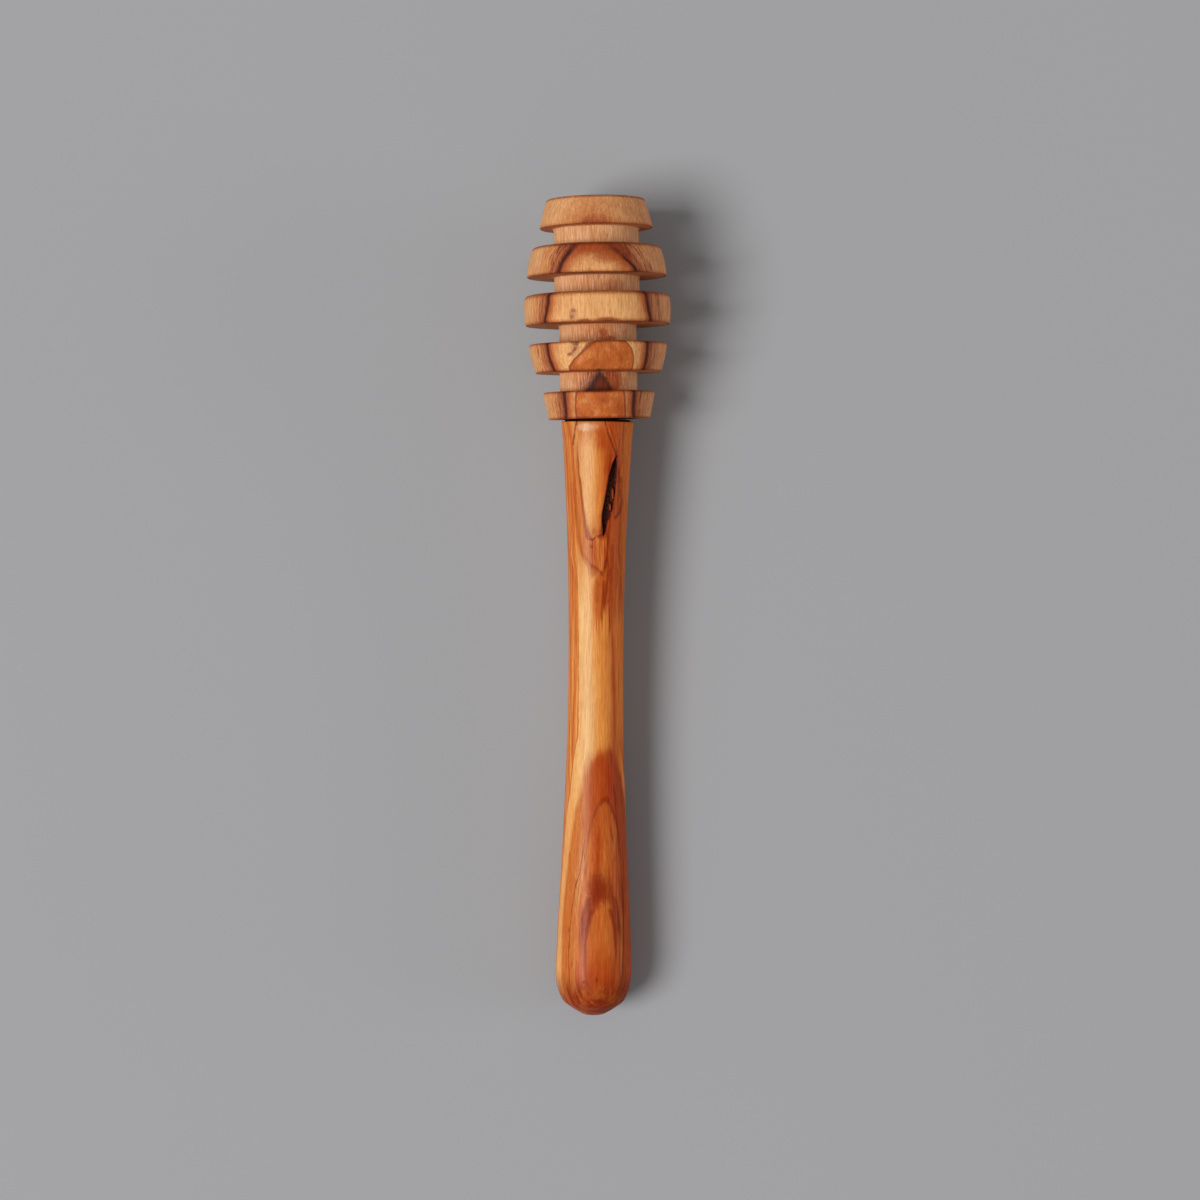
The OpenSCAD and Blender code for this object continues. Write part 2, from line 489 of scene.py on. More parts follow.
# The knot on the core next to the handle: where its tip is, and how far its two legs spread
KNOT_AT = (0.3, 9.1)
KNOT_SPREAD = 0.58
# Paler sapwood painted on the right flank, standing in for fill light on the shaded side
PALE_FLANK = srgb(255, 180, 128)
BARE_WOOD = (0.9, 0.8, 0.72)
TORN_WOOD = (0.9, 0.85, 0.8)
PURPLE = srgb(150, 90, 72)
DARK_PURPLE = srgb(132, 66, 44)
GREY_BROWN = srgb(104, 66, 58)
PURPLE_STROKES = [
    (0.26, 0.5, (-3.9, 14.4), (-4.25, 13.3), (-4.5, 12.9), (-5, 12.4), (-5.5, 12)),
    (0.22, 0.4, (-4.9, 14.4), (-4.5, 13.4)),
]
PURPLE_SPOTS = [
    ((-2.6, 6.4, 7), (1.6, 1.5, 1.6), 0.5),
    ((-4.2, 14.1, 12.8), (0.7, 0.45, 1.4), 0.8),
    ((-4.4, 13.1, 12.6), (0.4, 0.5, 1.4), 0.75),
    ((-5.3, 12.1, 12.2), (0.6, 0.4, 1.4), 0.65),
    ((-4.6, 13.2, 12.6), (1.3, 1.3, 1.6), 0.3),
    ((-4.55, 20.25, 13.3), (0.55, 0.45, 1.4), 0.75),
    ((-4.85, 19.1, 13.3), (0.5, 0.5, 1.4), 0.7),
    ((-4.7, 19.6, 13.3), (0.9, 1.2, 1.4), 0.35),
]
STAINS = [
    ((2, 18.4, 14), (2.1, 0.6, 1.4), 0.8),
    ((-2.6, 18.35, 14), (1.3, 0.35, 1.4), 0.7),
    ((1.1, 16.4, 7.5), (0.9, 1, 1.2), 0.8),
    ((1.9, 15.3, 7.3), (1.9, 0.6, 1.2), 0.7),
    ((2.2, 30.6, 13), (3.4, 1.5, 1.6), 0.6),
    ((4.8, 28.6, 12.6), (1.6, 0.9, 1.6), 0.5),
    ((-0.6, 32.4, 12.4), (3.8, 2, 1.4), 0.9),
    ((0.6, 37.6, 10.8), (3, 1.1, 1.4), 0.45),
    ((3, 7.2, 7), (1.7, 2, 1.8), 0.85),
    ((1.6, 3.6, 10.2), (1.6, 0.7, 1.4), 0.45),
    ((3.4, 25.5, 7.4), (2.6, 1.2, 1.8), 0.4),
]


def growths(wood, from_line):
    """Pale sapwood outside the dark line, amber to honey wood inside it"""
    return ramp(from_line, [
        (-5, wood.sapwood),
        (-3.2, wood.sapwood, wood.rose, 0.55),
        (-2.2, wood.rose),
        (-1.8, wood.rose, wood.russet, 0.4),
        (-1.55, wood.russet),
        (-0.95, wood.russet, wood.growth_line, 0.35),
        (-0.7, wood.rose, wood.russet, 0.73),
        (-0.3, wood.russet, wood.growth_line, 0.3),
        (0.1, wood.amber, wood.russet, 0.35),
        (0.7, wood.amber, wood.honey, 0.15),
        (1.3, wood.amber, wood.honey, 0.65),
        (2.3, wood.honey),
    ])


def mottled_heart(wood, place, inward, fibre, broad, patches, thin_tone):
    """The heart, mottled and with fine arcs"""
    across, along, _up = split(place)
    blotch = noise(place, 21, scale=0.34)
    arcs = noise(join(inward * 2.2, along * 0.12, across * 0.12), 22, detail=1)
    coat = Coat(wood.heart, wood.russet, 0.4)
    coat.over(broad, wood.heart)
    coat.over(patches * 0.6, wood.heart, wood.honey, 0.6)
    coat.over(fibre * 0.35, wood.heart, wood.russet, 0.7)
    coat.over(thin_tone * 0.35, wood.heart, wood.russet, 0.6)
    coat.over(blotch.rise(0.48, 0.7) * 0.6, wood.heart, wood.honey, 0.5)
    coat.over(blotch.rise(0.48, 0.34) * 0.6, wood.heart, wood.russet, 0.7)
    coat.over(arcs.rise(0.54, 0.66) * 0.35, wood.heart, wood.russet, 0.8)
    return coat.paint


def add_knot(coat, wood, place):
    """The knot on the core next to the handle: two legs that spread from its tip"""
    across, along, up = split(place)
    wavy = (noise(place, 23, detail=3, roughness=0.65, scale=1.1) - 0.5) * 1.6
    leg = (across - KNOT_AT[0]).size() - (along * -1 + KNOT_AT[1]) * KNOT_SPREAD + wavy * 1.3
    on_core = along.between(5, 9.2, 0.3) * up.rise(0, 2)
    left_leg = across.rise(KNOT_AT[0] + 0.3, KNOT_AT[0] - 0.3)
    coat.over(leg.rise(1.6, 0) * on_core * 0.7, wood.rose, wood.russet, 0.75)
    coat.over(leg.rise(1.1, 0.2) * on_core * left_leg * 0.75, GREY_BROWN)
    coat.over(leg.rise(0.6, -0.1) * on_core * 0.8, wood.knot)
    coat.over(leg.rise(-0.3, -1) * on_core * 0.75, wood.russet, wood.knot, 0.4)


def head_wood(wood, matrix):
    """Sanded olive wood with the figure of the head"""
    material, shader = new_material("olive_wood_sanded")
    place, normal = piece_place(shader, matrix)
    across, along, up = split(place)
    shift = sheet_warp(place=place, bend=0.22, waver=0.13, seed=1)
    fine, fine_flecks = wood_fibre(place=place, width=0.2, run=2.6, seed=2)
    fibre, flecks = wood_fibre(place=place, width=0.5, run=6, seed=3)
    broad, patches = wood_fibre(place=place, width=1.5, run=4, seed=4)
    ragged = (noise(place, 6, scale=2.4) - 0.5) * 1.4
    depth = up - along * HEAD_RISE
    tone, threads = growth_rings(depth=depth + shift, place=place, spacing=0.5, seed=5)
    thin_tone, thin_threads = growth_rings(depth=depth + shift, place=place, spacing=0.17, seed=8)
    to_right = across.rise(-0.8, 0.8)

    def by_side(left, right):
        low, high = along.curve(left), along.curve(right)
        return low + (high - low) * to_right

    # The sapwood on the rims
    from_line = depth - by_side(LINE_LEFT, LINE_RIGHT) + shift * 0.35
    coat = Coat(growths(wood, from_line + shift * 0.65))
    end_rib = along.rise(36.8, 36.9)
    on_rim = functools.reduce(Wire.__add__, [along.between(*rim, 0.1) for rim in RIMS] + [end_rib])
    sap = from_line.rise(-0.2, -1.6) * on_rim
    not_end = along.rise(38, 33)
    # Painted fill light: the sapwood on the shaded right flank of the rims is painted paler
    coat.over(across.rise(4, 10.5) * sap * 0.8, PALE_FLANK)
    coat.over(thin_tone * sap * 0.4, wood.rose)
    coat.over(tone * across.rise(3, 7) * sap * 0.35, wood.rose, wood.russet, 0.35)
    coat.over(tone * end_rib * 0.3, wood.rose, wood.russet, 0.25)
    coat.over(threads.either(thin_threads) * sap * not_end * 0.3, wood.russet)
    coat.over(fibre * sap * 0.2, wood.sapwood, wood.honey, 0.3)

    # The core between the rims
    core = on_rim.rest()
    coat.over(broad * core * 0.35, wood.rose)
    coat.over(flecks * core * 0.45, wood.rose, wood.russet, 0.45)
    coat.over(fine.rise(0.5, 0.8) * core * 0.5, wood.sapwood, BARE_WOOD, 0.35)
    coat.over(patches * core * across.rise(-2, 3) * 0.6, wood.rose, wood.russet, 0.5)

    # Threads beside the dark line, and the wood inside it
    threaded = on_rim * not_end
    near = from_line.between(-4.6, -1.3, 0.35) * threaded
    close = from_line.between(-3.2, -0.1, 0.3) * threaded
    inside_line = from_line.rise(0.4, 1.4)
    coat.over(from_line.between(-2.6, -0.2, 0.5) * across.rise(3, 6) * threaded * 0.45, wood.russet)
    coat.over(thin_tone * near * 0.4, wood.rose, wood.sapwood, 0.5)
    coat.over(tone.rest() * near * 0.45, wood.rose, wood.sapwood, 0.3)
    coat.over(threads * close * 0.8, wood.growth_line, wood.russet, 0.5)
    coat.over(thin_threads * close * 0.6, wood.growth_line, wood.russet, 0.6)
    coat.over(fine * close * 0.25, wood.rose, wood.sapwood, 0.4)
    coat.over(patches * inside_line * 0.3, wood.amber)
    coat.over(broad.rest() * inside_line * 0.28, wood.honey, wood.amber, 0.55)

    # The heart, behind a thin line
    inward = depth - by_side(HEART_LEFT, HEART_RIGHT) + shift * 0.25
    low_part = along.rise(16.5, 15.5)
    heart = mottled_heart(wood, place, inward, fibre, broad, patches, thin_tone)
    coat.over(inward.rise(-0.05, 0.05) * low_part, heart)
    coat.over(inward.line(0.14) * low_part * 0.75, wood.russet, wood.growth_line, 0.35)

    # The dark line itself, with a wide red-brown wedge beside it on one rib
    breaks = noise(place, 9, scale=0.9)
    wedge = along.between(27.8, 32.8, 0.6) * across.between(0.9, 6.6, 0.6)
    uneven = from_line / ((breaks * 0.9 + 0.6) * (wedge * -0.2 + 1))
    coat.over(from_line.line(0.6, 0.95) * 0.3, wood.growth_line, wood.russet, 0.4)
    coat.over(from_line.between(-1.3, 0.05, 0.4) * wedge * 0.7, wood.russet, wood.growth_line, 0.25)
    coat.over(uneven.line(0.32, 0.65) * 0.95, wood.growth_line)

    # Stains, the knot, and torn grain at the right
    coat.over(spots(place, STAINS), wood.amber, wood.russet, 0.5)
    coat.over(spots(place, PURPLE_SPOTS), PURPLE)
    coat.over(strokes(place, ragged, PURPLE_STROKES), DARK_PURPLE)
    add_knot(coat, wood, place)
    torn = noise(place, 12, scale=3.6).rise(0.62, 0.7)
    rough_side = across.between(2.2, 6.5, 0.8) * along.between(15.2, 27.8, 0.6) * up.rise(9.2, 8.4)
    coat.over(torn * rough_side * 0.6, wood.sapwood, TORN_WOOD, 0.4)

    # Grain, grime on the edges, and painted shade at the joint
    dull, grime, turning = handled_surface(place=place, edge=attribute(shader, "edge"), patchy=0.14)
    cut_across, pores = end_grain(normal=normal, place=place)
    coat.tint(fine.rest() * 0.55, srgb(190, 158, 138))
    coat.tint(fibre.rest() * 0.4, srgb(205, 170, 146))
    coat.tint(fine_flecks * 0.35, srgb(176, 136, 116))
    coat.tint(cut_across * 0.45, srgb(214, 182, 160))
    coat.over(cut_across * tone * 0.5, wood.rose, wood.russet, 0.4)
    coat.over(cut_across * threads * 0.5, wood.russet)
    coat.tint(grime * 0.8, srgb(192, 134, 90))
    # Painted shade: the face round the joint is painted nearly black for the shade in the gap between head
    # and handle
    coat.over(attribute(shader, "seam"), wood.knot)
    shader.inputs["Specular IOR Level"].default_value = 0.18
    relief = fine * 0.7 - fine_flecks * 0.6 + turning * 0.5 - pores * 0.6
    finish(shader, coat, dull + wood.roughness, relief, 0.045)
    return material


# The handle's wood. Places in it are mm to the right of its axis and below the shoulder.

# Each growth sheet is nearly level. These are its heights above the axis. Where the handle is
# thicker than that, the sheet is cut, and a tongue or an arch shows.
TONGUE = [(0, 6.3), (4, 5.88), (9, 5.65), (15, 5.62), (20, 5.62), (24, 5.7), (30, 6.2)]
PLUM = [(0, 5.3), (4, 5.2), (11, 4.87), (15, 4.76), (20, 4.84), (24, 4.98), (27, 5.3),
        (29.7, 5.53), (34, 6.3)]
WAIST = [(0, 3.87), (56, 3.9), (60, 3.95), (62.6, 3.62), (65.4, 3.08), (69.7, 2.2), (74, 1.35),
         (78, 0.5), (84, 0), (98, -0.2), (117, -0.3)]
HEART = [(62, 6.6), (65.2, 5.66), (66.5, 5.3), (68.8, 4.88), (72.2, 4.28), (76.6, 3.35), (81.6, 2.69),
         (86, 2.25), (91, 2.1), (97, 2.2), (105, 2.8), (113, 3.2)]
ARCH = [(70, 6.15), (73, 5.88), (76, 5.48), (79, 5.28), (84, 5.35), (92, 5.3), (104, 5.6),
        (114, 5.9)]
FLAME = [(92.4, 7.2), (95, 6.72), (99, 6.6), (107, 6.76), (114, 7.2)]
THREAD = [(80, 5.1), (83, 4.92), (87, 4.83), (92, 4.36), (102, 4.34), (108, 4.79), (113, 4.84)]
RIGHT_THREAD = [(86, 5.2), (93, 5.04), (101, 5.49), (107, 5.88), (114, 6.2)]
# How far the sheets lean to the right, in degrees
SHEET_LEAN = [(0, -10), (4, -5.6), (20, -5), (25, -4), (30, 4), (40, 5), (60, 7),
              (66, 10), (75, 17.5), (84, 18.5), (92, 15), (100, 12), (117, 11)]
# How far to the right the middle of the pale waist and the edge of the red-brown wood above it lie
WAIST_MIDDLE = [(40, -0.3), (47, 0), (58, 0.35), (66, 0.45)]
RIGHT_FROM = [(22, 0.6), (30, 0.2), (33, -0.6), (38, -0.4), (44, 0.6)]
# The crack: distance to the right of the middle, and half its width
CRACK_MIDDLE = [(0.3, 1.55), (2.5, 2.07), (4.8, 3.05), (6.7, 3.7), (8.4, 3.42), (10.6, 3.13), (14.2, 2.62),
                (16.7, 2.25), (19.2, 1.62), (21.4, 1.45), (22.4, 1.3)]
CRACK_HALF_WIDTH = [(6.3, 0), (7.2, 0.22), (8.4, 0.52), (10.6, 0.8), (14.2, 0.92), (16.7, 0.98),
                    (18.3, 0.85), (19.2, 0.62), (21.4, 0.28), (22.4, 0)]
# Splinters of sound wood left in it: middle, distance below the shoulder, half width and half length
SPLINTERS = [(3.1, 14, 0.22, 1.3), (2.6, 16.6, 0.26, 0.8)]
# Dark lines, with their width and strength
HANDLE_STROKES = [
    (0.17, 0.8, (1.5, -0.2), (1.75, -1.3), (2.07, -2.5), (2.6, -3.7), (3.05, -4.8), (3.75, -6.8)),
    (0.17, 0.5, (2.3, -0.8), (3, -2.6), (3.7, -5), (3.85, -6.8)),
    (0.2, 0.8, (-4, 0), (-4.4, -2.2), (-4.68, -4.6)),
    (0.16, 0.3, (-4.68, -4.6), (-4.5, -9), (-4, -14)),
    (0.2, 0.8, (1, -21.8), (0.35, -22.25), (-0.05, -22.1), (-0.45, -22.6), (-0.8, -22.95), (-1.2, -22.65)),
    (0.2, 0.5, (-0.8, -22.95), (-1.2, -22.9), (-1.75, -22.8)),
    (0.3, 0.75, (0.9, -29.2), (1.25, -29.75), (1.65, -28.4), (1.9, -26.9)),
    (0.2, 0.45, (1.9, -26.9), (2.25, -24.6), (2.2, -22.4)),
    (0.3, 0.4, (0.9, -29.2), (0.1, -28.5), (-0.8, -27.9)),
    (0.3, 0.7, (4, -9), (4.5, -11.2), (4.45, -13.6), (4.8, -15.6), (4.5, -17.4), (3.6, -18.6)),
    (0.17, 0.5, (4.2, -14.2), (4.35, -16), (4, -17.6)),
    (0.16, 0.35, (5.1, -0.4), (5, -5), (4.9, -8.2)),
    (0.3, 0.4, (3.1, -24), (2.9, -30), (2.6, -35)),
    (0.3, 0.35, (1.5, -31), (1.6, -36.5)),
    (0.3, 0.35, (0.4, -31.5), (0.2, -35)),
]
HANDLE_SPOTS = [
    ((-1.93, -109, 7), (0.3, 0.4, 1), 0.8),
    ((0.6, -108.5, 7.3), (0.35, 0.5, 1), 0.75),
    ((2.2, -109.4, 6.9), (0.25, 0.3, 1), 0.5),
    ((0.8, -90.4, 7.2), (2.3, 3.4, 1.6), 0.75),
    ((-1.1, -93.6, 7.2), (0.8, 1.8, 1.4), 0.5),
    ((-0.4, -21.3, 5.8), (0.6, 0.7, 1), 0.3),
    ((-1, -24.2, 5.6), (0.45, 0.4, 1), 0.6),
    ((4.62, -16.7, 5), (0.25, 0.5, 1), 0.8),
]
# A painted highlight on the shoulder: where it lies, and its pale colour
RUBBED_WOOD = (0.9, 0.8, 0.7)
PALE_SPOTS = [
    ((-2.3, -1.2, 6.5), (1.9, 0.8, 1.6), 0.55),
    ((-0.6, -1, 6.9), (0.8, 0.5, 1.6), 0.3),
]


def flank_woods(wood, down, fibre, tone, threads):
    """The striped flanks: golden at the left, orange to red-brown at the right"""
    left = Coat(wood.honey, wood.cream, 0.2)
    left.over(tone, wood.stripe)
    left.over(threads * 0.5, wood.stripe, wood.growth_line, 0.35)
    right = Coat(wood.ember, wood.russet, 0.4)
    right.over(down.between(36, 62, 5), wood.ember)
    right.over(down.rise(62, 76) * 0.45, wood.russet)
    right.over(fibre * 0.4, wood.russet)
    right.over(threads * 0.4, wood.russet, wood.growth_line, 0.4)
    return left.paint, right.paint


def waist_wood(wood, across, down, broad, stripes):
    """Cream at the left, golden in the middle, red-brown at the right"""
    coat = Coat(ramp(across - down.curve(WAIST_MIDDLE) + (broad - 0.5) * 0.5, [
        (-5, wood.cream, wood.honey, 0.5),
        (-3.6, wood.cream, wood.honey, 0.15),
        (-1.4, wood.cream),
        (-0.4, wood.cream, wood.honey, 0.55),
        (0.6, wood.honey),
        (2.2, wood.golden),
        (2.9, wood.honey, wood.russet, 0.5),
        (3.35, wood.stripe, wood.russet, 0.45),
        (4, wood.ember, wood.stripe, 0.6),
        (5, wood.ember),
    ]))
    coat.over(down.rise(38, 26) * 0.55, wood.honey, wood.plum, 0.5)
    coat.over(down.rise(31, 22) * across.rise(-1.5, -3), stripes)
    return coat.paint


def right_wood(wood, across, fibre, flecks, broad, threads):
    """Red-brown wood at the right of the upper part"""
    coat = Coat(ramp(across + (broad - 0.5) * 0.8, [
        (-1, wood.honey, wood.russet, 0.4),
        (0.2, wood.honey, wood.russet, 0.65),
        (1.2, wood.stripe, wood.russet, 0.45),
        (2.5, wood.stripe, wood.russet, 0.7),
        (4.2, wood.russet, wood.ember, 0.2),
        (5.2, wood.russet, wood.ember, 0.5),
        (6.6, wood.russet, wood.ember, 0.7),
    ]))
    coat.over(flecks, wood.dark)
    coat.over(fibre.rest() * 0.45, wood.stripe, wood.ember, 0.4)
    coat.over(threads * across.rise(5.6, 4) * 0.7, wood.dark)
    return coat.paint


def plum_wood(wood, down, fibre, broad):
    """The purple-brown growth that lies over the waist"""
    coat = Coat(wood.plum)
    coat.over(broad * 0.5, wood.plum, wood.russet, 0.45)
    coat.over(down.rise(12, 3) * 0.6, wood.plum, wood.cream, 0.6)
    coat.over(fibre * 0.35, wood.honey, wood.stripe, 0.4)
    return coat.paint


def tongue_wood(wood, across, down, fibre, broad, ragged):
    """The pale tongue on the purple-brown growth"""
    coat = Coat(ramp(across + (broad - 0.5) * 0.5, [
        (-3.2, wood.plum, wood.cream, 0.5),
        (-2.2, wood.cream, wood.honey, 0.25),
        (-1, wood.cream, wood.honey, 0.4),
        (0, wood.honey, wood.stripe, 0.2),
        (0.9, wood.honey, wood.stripe, 0.75),
        (1.9, wood.stripe, wood.russet, 0.6),
        (3, wood.stripe, wood.russet, 0.9),
    ]))
    patch = down.between(1.6, 5.4, 1) * (across + ragged).between(-0.2, 1.9, 0.7)
    coat.over(down.rise(17, 22.5) * 0.55, wood.plum, wood.russet, 0.35)
    coat.over(fibre * 0.25, wood.honey, wood.stripe, 0.5)
    coat.over(down.rise(6.5, 1) * 0.7, wood.plum, wood.stripe, 0.6)
    coat.over(patch * 0.75, wood.stripe, wood.russet, 0.6)
    return coat.paint


def heart_wood(wood, across, down, fibre, flecks, broad, threads, ragged):
    """The heart towards the butt, with a fair patch at its left"""
    coat = Coat(ramp(across + (broad - 0.5), [
        (-5, wood.plum, wood.stripe, 0.3),
        (-2.6, wood.plum),
        (-1, wood.plum, wood.russet, 0.6),
        (0.5, wood.stripe, wood.russet, 0.7),
        (3.5, wood.russet, wood.growth_line, 0.12),
        (6, wood.russet, wood.ember, 0.15),
    ]))
    fair = down.rise(80, 88) * (across + ragged).between(-3.6, -1.4, 0.8)
    coat.over(fair * 0.55, wood.plum, wood.cream, 0.5)
    coat.over(flecks, wood.dark)
    coat.over(fibre.rest() * 0.4, wood.plum, wood.stripe, 0.5)
    coat.over(threads * across.rise(-0.5, 1.5) * 0.8, wood.dark)
    return coat.paint


def arch_wood(wood, across, down, fibre, flecks, broad, threads):
    """The growth that shows as an arch in the heart"""
    coat = Coat(wood.golden, wood.stripe, 0.3)
    coat.over(broad * 0.75 + fibre * 0.25, wood.russet)
    coat.over(down.rise(84, 76) * 0.55, wood.stripe, wood.russet, 0.6)
    coat.over(flecks * 0.8, wood.dark)
    coat.over(threads * across.rise(1.5, 3.5) * 0.6, wood.dark)
    return coat.paint


def flame_wood(wood, down, broad):
    """The pale flame near the butt"""
    coat = Coat(wood.golden, wood.stripe, 0.65)
    coat.over(broad * 0.7, wood.stripe, wood.russet, 0.35)
    coat.over(down.rise(100, 109) * 0.8, wood.stripe, wood.russet, 0.75)
    return coat.paint


def crack_wood(wood, place, down, to_side, crumbs):
    """The inside of the crack, with brown crumbs and a few pale flakes"""
    flakes = noise(place, 33, detail=1, scale=6.5).rise(0.6, 0.68)
    coat = Coat(wood.bark)
    coat.over((to_side + (crumbs - 0.5) * 1.5).rise(-0.15, 0.55), wood.bark, wood.russet, 0.1)
    coat.over(crumbs.rise(0.56, 0.7), wood.bark, wood.russet, 0.5)
    coat.over(flakes * down.rise(8, 14) * 0.3, srgb(176, 140, 116))
    return coat.paint


def handle_wood(wood, matrix):
    """Oiled olive wood with the figure of the handle"""
    material, shader = new_material("olive_wood_oiled")
    place, normal = piece_place(shader, matrix)
    across, along, up = split(place)
    down = -along
    shift = sheet_warp(place=place, bend=0.12, waver=0.13, seed=11)
    fine, fine_flecks = wood_fibre(place=place, width=0.2, run=3.2, seed=12)
    fibre, flecks = wood_fibre(place=place, width=0.45, run=8, seed=13)
    broad, _patches = wood_fibre(place=place, width=1.1, run=12, seed=14)
    ragged = (noise(place, 16, scale=2) - 0.5) * 1.2
    lean = down.curve([(s, math.radians(a)) for s, a in SHEET_LEAN])
    height = up * lean.math("COSINE") + across * lean.math("SINE") + shift
    tone, threads = growth_rings(depth=height, place=place, spacing=0.5, run=22, seed=15)
    broken = fibre * 0.6 + 0.4

    # The flanks, the pale layer of the waist, and red-brown wood above it at the right
    stripes, flank = flank_woods(wood, down, fibre, tone, threads)
    coat = Coat(stripes)
    coat.over(across.rise(-1, 1), flank)
    waist = height - down.curve(WAIST)
    coat.over(waist.rise(-0.04, 0.1), waist_wood(wood, across, down, broad, stripes))
    coat.over(waist.line(0.16) * across.rise(1, -1) * 0.6, wood.stripe, wood.growth_line, 0.3)
    tips = (down + across * 0.9 + (fibre - 0.5) * 9 + (broad - 0.5) * 5).rise(43.5, 36.5)
    at_right = (across - down.curve(RIGHT_FROM)).rise(-0.7, 0.5)
    coat.over(at_right * tips, right_wood(wood, across, fibre, flecks, broad, threads))

    # The purple-brown growth, and the pale tongue on it
    growth = height - down.curve(PLUM)
    inner = growth.rise(-0.05, 0.15) * down.rise(31.5, 30)
    coat.over(inner * across.rise(0.8, -0.4), plum_wood(wood, down, fibre, broad))
    lower_left = down.between(22.5, 29.5, 0.8) * across.between(-1.2, 1.9, 0.5)
    coat.over(inner * lower_left * 0.8, mix(fibre, wood.russet, wood.golden))
    edge = growth.line(0.32) * down.rise(31, 29.5) * across.rise(0.4, -0.6)
    coat.over(edge * down.rise(6, 16) * broken * 0.6, wood.dark)
    tongue = height - down.curve(TONGUE)
    above = (down + ragged * 0.7).rise(23.2, 22.2)
    coat.over(tongue.rise(-0.05, 0.12) * above, tongue_wood(wood, across, down, fibre, broad, ragged))
    coat.over(tongue.line(0.17) * above * down.rise(2, 9) * 0.7, wood.dark)

    # Towards the butt: the heart, an arch in it and a pale flame
    torn_edge = (fibre - 0.5) * 0.5 + (broad - 0.5) * 0.4
    heart = height - down.curve(HEART) + across.rise(0.2, 3.4) * 0.85 + torn_edge * 0.6
    coat.over(
        heart.rise(-0.75, 0.35) * down.rise(60, 64),
        heart_wood(wood, across, down, fibre, flecks, broad, threads, ragged),
    )
    arch = height - down.curve(ARCH) - (across - 2.2).size() * down.rise(84, 73) * 0.16
    past = down.rise(72.4, 73.4)
    coat.over(arch.rise(-0.06, 0.12) * past, arch_wood(wood, across, down, fibre, flecks, broad, threads))
    arch_line = arch.line(0.22) * past * (down.rise(86, 80) + across.rise(1.5, 3) * 0.6).least(1)
    half_broken = fibre * 0.4 + 0.6
    coat.over(arch_line * (across.rise(0, 2.4) * 0.5 + 0.4) * half_broken, wood.dark)
    thread = (height - down.curve(THREAD)).line(0.13) * across.rise(1, -1)
    coat.over(thread * down.rise(79, 84) * half_broken * 0.8, wood.dark)
    thread = (height - down.curve(RIGHT_THREAD)).line(0.16) * across.rise(0.5, 2.5)
    coat.over(thread * down.rise(88, 93) * 0.7, wood.growth_line)
    flame = height - down.curve(FLAME)
    final = (down + ragged * 0.6).rise(94.2, 95.4) * (down + ragged * 1.5).rise(112, 109)
    coat.over(flame.between(-0.8, -0.02, 0.2) * down.between(89, 101, 3) * broken, wood.dark)
    coat.over(flame.rise(-0.05, 0.1) * final, flame_wood(wood, down, broad))
    coat.over(flame.line(0.2) * final * down.rise(110, 101) * 0.8, wood.dark)

    # Dark lines, specks, and a painted highlight on the shoulder
    come_and_go = noise(place, 18, scale=0.8).rise(0.3, 0.6) * 0.5 + 0.5
    coat.over(strokes(place, ragged, HANDLE_STROKES) * come_and_go, wood.growth_line, wood.russet, 0.35)
    coat.over(spots(place, HANDLE_SPOTS), wood.dark)
    # Painted highlight: pale patches on the shoulder where the light glances off it
    coat.over(spots(place, PALE_SPOTS), wood.cream, RUBBED_WOOD, 0.4)
    coat.tint(down.rise(107, 116) * 0.6, srgb(214, 170, 130))

    # The crack, and the burnt butt with its arcs
    hollow = attribute(shader, "hollow")
    crumbs = noise(place, 31, detail=3, roughness=0.7, scale=3.2)
    to_side = across - down.curve(CRACK_MIDDLE)
    beside = to_side.size() - down.curve(CRACK_HALF_WIDTH)
    halo = beside.rise(0.55, 0) * down.between(5.5, 22.6, 0.8)
    coat.over(halo * 0.55, wood.russet, wood.growth_line, 0.6)
    coat.over(hollow.rise(0.02, 0.3), crack_wood(wood, place, down, to_side, crumbs))
    scorched = (down + (broad - 0.5) * 2).rise(106.5, 113.5)
    coat.tint(scorched * (tone * 0.5 + 0.5), srgb(168, 96, 56))
    arc_tone, arc_threads = growth_rings(depth=height, place=place, spacing=1.1, seed=17)
    at_butt = (down + ragged - across.size() * 0.6).rise(107, 110)
    coat.over(arc_tone.rest() * at_butt * 0.3, wood.stripe, wood.ember, 0.3)
    coat.over(arc_tone.rise(0.6, 0.9) * at_butt * 0.5, wood.dark)
    coat.over(arc_threads * at_butt * 0.8, wood.dark)

    # Grain, the skin that the oil has left, and painted shade at the joint
    dull, _grime, turning = handled_surface(place=place, patchy=0.12)
    cut_across, pores = end_grain(normal=normal, place=place, seed=3)
    coat.tint(fine.rest() * 0.5, srgb(200, 160, 130))
    coat.tint(fibre.rest() * 0.35, srgb(205, 160, 128))
    coat.tint(fine_flecks * 0.35, srgb(180, 136, 106))
    coat.tint(cut_across * 0.3, srgb(205, 170, 146))
    # Painted shade: the shoulder and tenon at the joint are painted nearly black for the shade in the gap
    coat.over(attribute(shader, "seam"), wood.bark)
    shader.inputs["Specular IOR Level"].default_value = 0.08
    shader.inputs["Coat Roughness"].default_value = 0.3
    rubbed_off = hollow.either(across.rise(-0.5, 2.5)).either(fine_flecks * 0.7)
    plug(shader.inputs["Coat Weight"], rubbed_off.rest() * wood.oil_sheen)
    relief = fine * 0.4 - fine_flecks * 0.4 + turning * 0.25 + hollow * crumbs * 6 - pores * 0.4
    finish(shader, coat, dull + hollow * 0.35 + wood.roughness, relief, 0.03)
    return material


